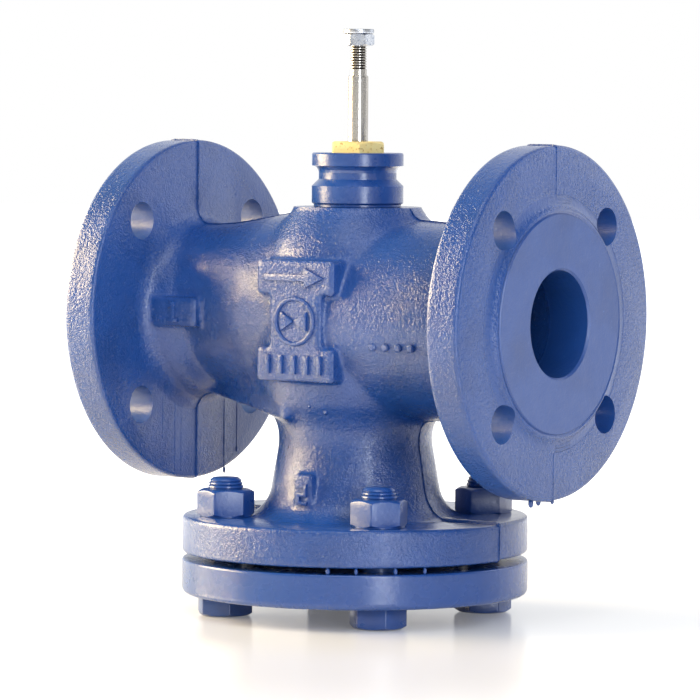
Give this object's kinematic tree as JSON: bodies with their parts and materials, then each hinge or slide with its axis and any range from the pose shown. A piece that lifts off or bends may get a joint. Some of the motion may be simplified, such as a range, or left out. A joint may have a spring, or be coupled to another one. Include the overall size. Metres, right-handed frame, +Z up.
{
  "type": "flanged globe valve",
  "caption": "Cast globe valve body with side flanges and a bolted blind flange below, a turned bonnet neck, and a packed stem that lifts a V-port plug against its seat.",
  "frame": {"origin": "centre of the footprint, on the plane of the four bolt heads that it stands on, under the stem", "axes": "+Z up along the stem, +X along the pipe axis towards port 2, -Y is the side with the raised pads"},
  "size_m": [0.23, 0.165, 0.2784],
  "materials": {
    "cast_paint": "satin blue paint on cast iron",
    "smooth_paint": "satin blue paint on machined steel",
    "brass": "bright turned brass",
    "bronze": "turned bronze",
    "bright_steel": "ground stainless steel",
    "zinc_steel": "bright zinc plating",
    "graphite": "graphite sheet",
    "black_rubber": "smooth black rubber",
    "white_ptfe": "white PTFE"
  },
  "bodies": {
    "valve_body": {"body": "cast_paint", "seat_ring": "bronze", "bonnet": "smooth_paint", "bonnet_gasket": "smooth_paint", "guide_bush": "bronze", "spring_washer": "bright_steel", "packing_spring": "bright_steel", "packing_follower": "bright_steel", "packing_rings": "white_ptfe", "gland_nut": "brass", "gland_oring": "black_rubber", "wiper_ring": "black_rubber", "flange_gasket": "graphite", "blind_flange": "smooth_paint", "bottom_bolts": "smooth_paint", "bottom_nuts": "smooth_paint"},
    "stem_and_plug": {"stem": "bright_steel", "plug": "bronze", "plug_seal": "white_ptfe", "plug_washer": "bright_steel", "plug_nut": "zinc_steel", "stem_nut": "zinc_steel", "stem_button": "zinc_steel"}
  },
  "joints": [
    {"name": "stem_lift", "type": "slide", "parent": "valve_body", "child": "stem_and_plug", "axis": [0, 0, 1], "range_m": [-0.02, 0]}
  ]
}
